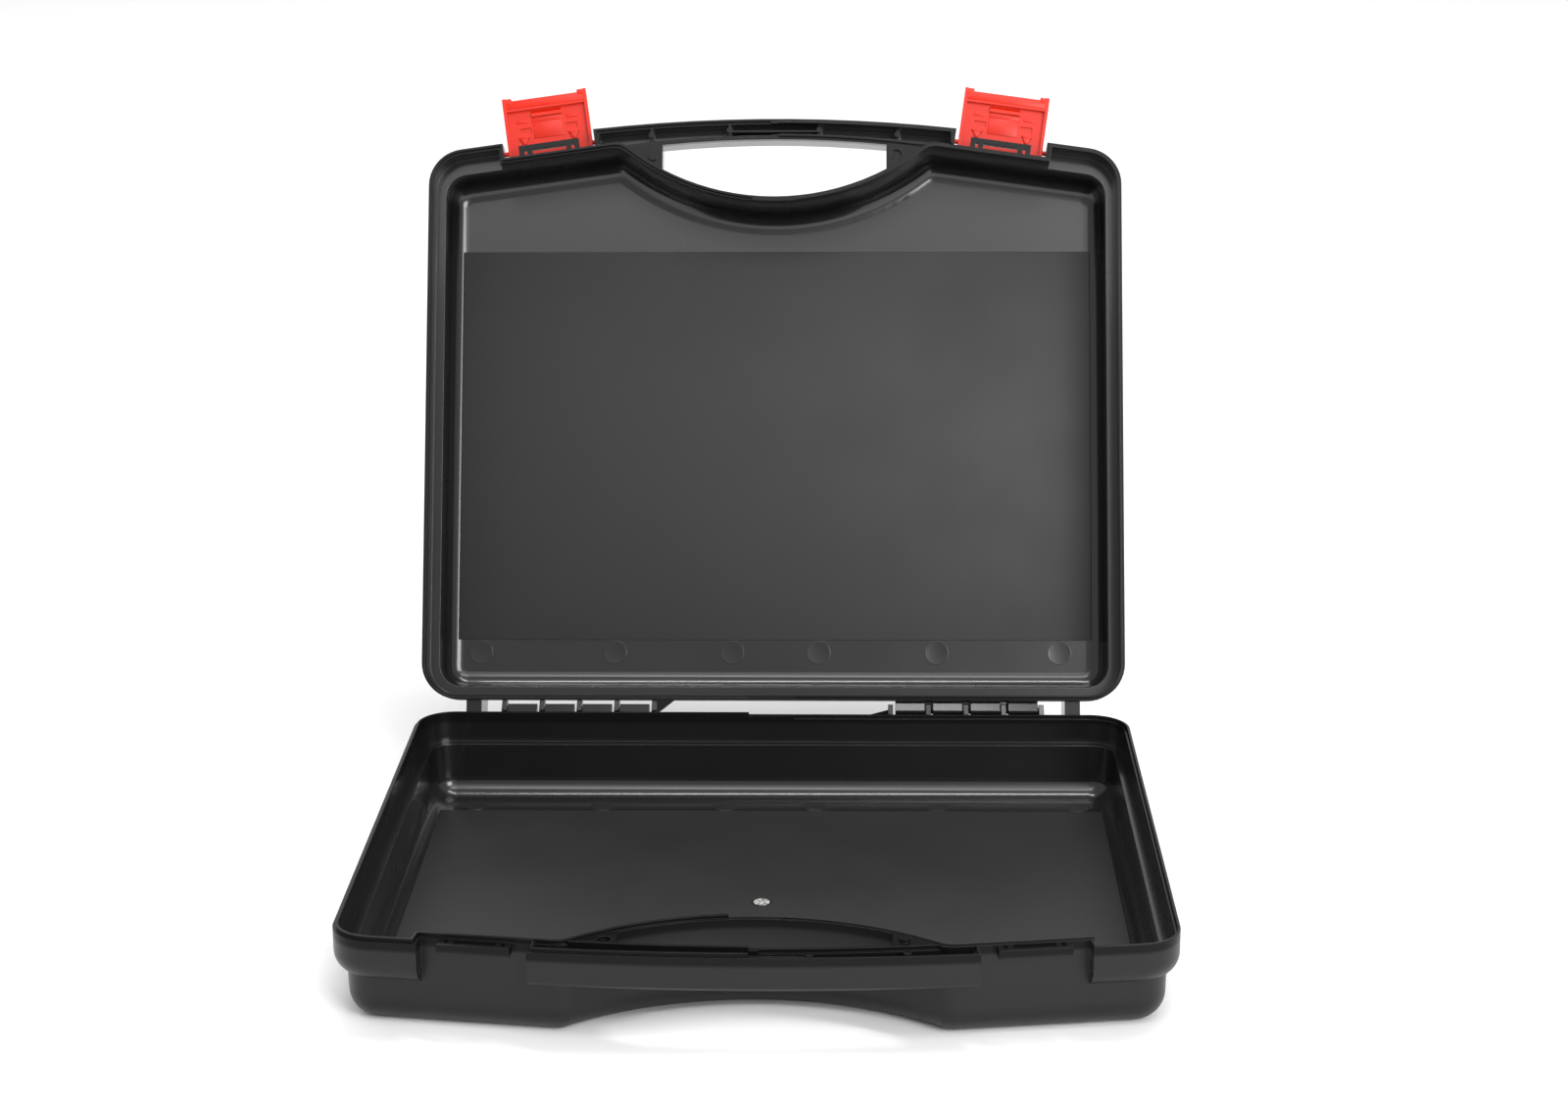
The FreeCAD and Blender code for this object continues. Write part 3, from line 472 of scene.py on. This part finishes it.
PIN_ROW = -30.5
PIN_PLACES = [-140.9, -80.2, -21.8, 21.1, 79.3, 145.9]
PIN_PROUD = {"base": 0.25, "lid": 0.09}
for body, half_frame in moulding_frames.items():
    for number, across in enumerate(PIN_PLACES, start=1):
        place = Vector((across, PIN_ROW, FLOOR_TOP + PIN_PROUD[body])) * MM - Vector((0, 0, PIN_HEIGHT / 2))
        copy_to(pin_mark, f"ejector_mark_{body}_{number}", body,
                half_frame @ Matrix.Translation(place), shell_plastics[body])
bpy.data.objects.remove(pin_mark)
print("ejector marks:", 2 * len(PIN_PLACES))

# %% [markdown]
# ## The gate mark
# Plastic enters the tool through a gate at the middle of the floor. Breaking it off leaves
# a rough spot, whitened where the plastic tore, with a low dark collar round it. The spot is
# a small disc, lifted in rings and then roughened by moving its points a little, always in
# the same way. The collar is a thin ring, half sunk in the floor.

# %% Make the gate mark
def torn_polypropylene():
    """Polypropylene whitened by tearing."""
    material, shader = new_plastic("torn_whitened_polypropylene", ior=1.49)
    place = add_node(material, "ShaderNodeTexCoord").outputs["Object"]
    tears = add_node(material, "ShaderNodeTexNoise", {
        "Vector": place, "Scale": 1 / (1.1 * MM), "Detail": 4, "Roughness": 0.7})
    streaks = add_node(material, "ShaderNodeValToRGB", {"Fac": tears.outputs["Fac"]})
    streaks.color_ramp.elements[0].position = 0.40
    streaks.color_ramp.elements[0].color = linear_colour("#3a3a3a")
    streaks.color_ramp.elements[1].position = 0.56
    streaks.color_ramp.elements[1].color = linear_colour("#b4b4b0")
    material.node_tree.links.new(streaks.outputs["Color"], shader.inputs["Base Color"])
    shader.inputs["Roughness"].default_value = 0.7
    return material


deselect_all()
bpy.ops.mesh.primitive_cylinder_add(vertices=32, radius=3.6 * MM, depth=0.5 * MM)
gate_mark = bpy.context.object
gate_mark.name = "gate_mark"
select_where(gate_mark, lambda face: face.normal.z > 0.9)
for thickness, lift in ((0.7, 0.15), (0.9, -0.12), (0.9, 0.14)):
    bpy.ops.mesh.inset(thickness=thickness * MM)
    bpy.ops.transform.translate(value=(0, 0, lift * MM))
bpy.ops.mesh.select_all(action="SELECT")
bpy.ops.transform.vertex_random(offset=0.16 * MM, seed=7)
bpy.ops.object.mode_set(mode="OBJECT")

deselect_all()
bpy.ops.mesh.primitive_torus_add(major_radius=4.1 * MM, minor_radius=0.35 * MM,
                                 major_segments=48, minor_segments=10)
gate_collar = bpy.context.object
gate_collar.name = "gate_collar"
bpy.ops.object.shade_smooth()

GATE_PLACE = Vector((-1.1, -147.2, PANEL_TOP + 0.1)) * MM
gate_frame = moulding_frames["base"] @ Matrix.Translation(GATE_PLACE)
fit(gate_mark, "base", gate_frame, torn_polypropylene())
fit(gate_collar, "base", gate_frame, shell_plastics["base"])
print("gate mark:", len(gate_mark.data.polygons), "faces")

# %% [markdown]
# ## The inside of the latches
# Seen from inside, a real latch has a thick finger lip along its end, a lug on each top
# corner, the thick root of the snap lip above a smooth field, a short bar on each side of
# it, and a rib with a tapering gusset under each bar. They are moulded in one with the
# latch, and are low enough to clear the keeper when the latch is shut. Each is made in
# the latch's own frame: X along the pivot pin, Z along the plate, and -Y into the case.

# %% Make the latches' inner details
LATCH_SLOPE = math.radians(8.06)
PIVOT = Vector((111.285, -279.286, -12.6)) * MM
PLATE_INNER = 0.8
LATCH_DETAILS = (
    ("finger_lip", (-20.3, -1.4, 22.0), (20.3, 1.2, 26.25), 0.35, None),
    ("lug_left", (-20.95, -1.5, 24.6), (-16.4, 2.7, 27.55), 0.45, None),
    ("lug_right", (16.4, -1.5, 24.6), (20.95, 2.7, 27.55), 0.45, None),
    ("field", (-7.5, 0.6, 6.2), (7.5, 1.2, 14.6), 0.15, None),
    ("lip_root", (-7.6, 0.55, 14.5), (7.6, 1.2, 17.0), 0.12, None),
    ("bar_left", (-15.4, 0.55, 14.7), (-9.6, 1.2, 16.3), 0.12, None),
    ("bar_right", (9.6, 0.55, 14.7), (15.4, 1.2, 16.3), 0.12, None),
    ("rib_left", (-15.0, -0.1, 6.6), (-9.8, 1.2, 7.8), 0.25, None),
    ("rib_right", (9.8, -0.1, 6.6), (15.0, 1.2, 7.8), 0.25, None),
    ("gusset_left", (-14.4, -0.05, 3.6), (-10.4, 1.2, 6.8), 0.2, (0.35, 1)),
    ("gusset_right", (10.4, -0.05, 3.6), (14.4, 1.2, 6.8), 0.2, (0.35, 1)),
)
for name, body, side in (("left", "latch_l", 1), ("right", "latch_r", -1)):
    pivot = Vector((side * PIVOT.x, PIVOT.y, PIVOT.z))
    latch_frame = (moulding_frames["lid"] @ Matrix.Translation(pivot)
                   @ Matrix.Rotation(math.pi + side * LATCH_SLOPE, 4, "Z")
                   @ Matrix.Rotation(math.radians(-90), 4, "X"))
    for detail, low, high, rounding, narrow in LATCH_DETAILS:
        piece = moulded_block(f"latch_{name}_{detail}", low, high, rounding, narrow)
        fit(piece, body, latch_frame, latch_plastic)
    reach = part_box(f"latch_{name}")
    print(name, "latch box in mm:", [[round(x * 1000, 1) for x in corner] for corner in reach])

# %% [markdown]
# ## The web between the hinge barrels
# On the real case a low web ties the barrels together, so the notches between them are
# closed behind. It lies just clear of the other half's fingers.

# %% Make the barrel webs
WEB_START = -127.8
WEB_END = -59.3
web = moulded_block("web", (WEB_START, -6.3, -5.2), (WEB_END, 1.2, -3.4), 0.25)
for body, half_frame in moulding_frames.items():
    copy_to(web, f"barrel_web_{body}", body, half_frame, shell_plastics[body])
bpy.data.objects.remove(web)
print("web length in mm:", round(WEB_END - WEB_START, 1))

# %% [markdown]
# ## The floor under the case
# A plain white table that runs well past the picture's edges. It isn't part of the case, so
# it is marked as a stage.

# %% Lay the floor
floor_paint, floor_shader = new_plastic("white_table", ior=1.45)
floor_shader.inputs["Base Color"].default_value = linear_colour("#f4f4f4")
floor_shader.inputs["Roughness"].default_value = 0.6
deselect_all()
bpy.ops.mesh.primitive_plane_add(size=12)
table_top = bpy.context.object
table_top.name = "table_top"
dress(table_top, floor_paint)
table_top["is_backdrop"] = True
print("floor laid")

# %% [markdown]
# ## The size, and the end
# This finds the box round the dressed case. The dressed case has to stay inside the box of
# the imported one.

# %% Measure the dressed case
low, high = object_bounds()
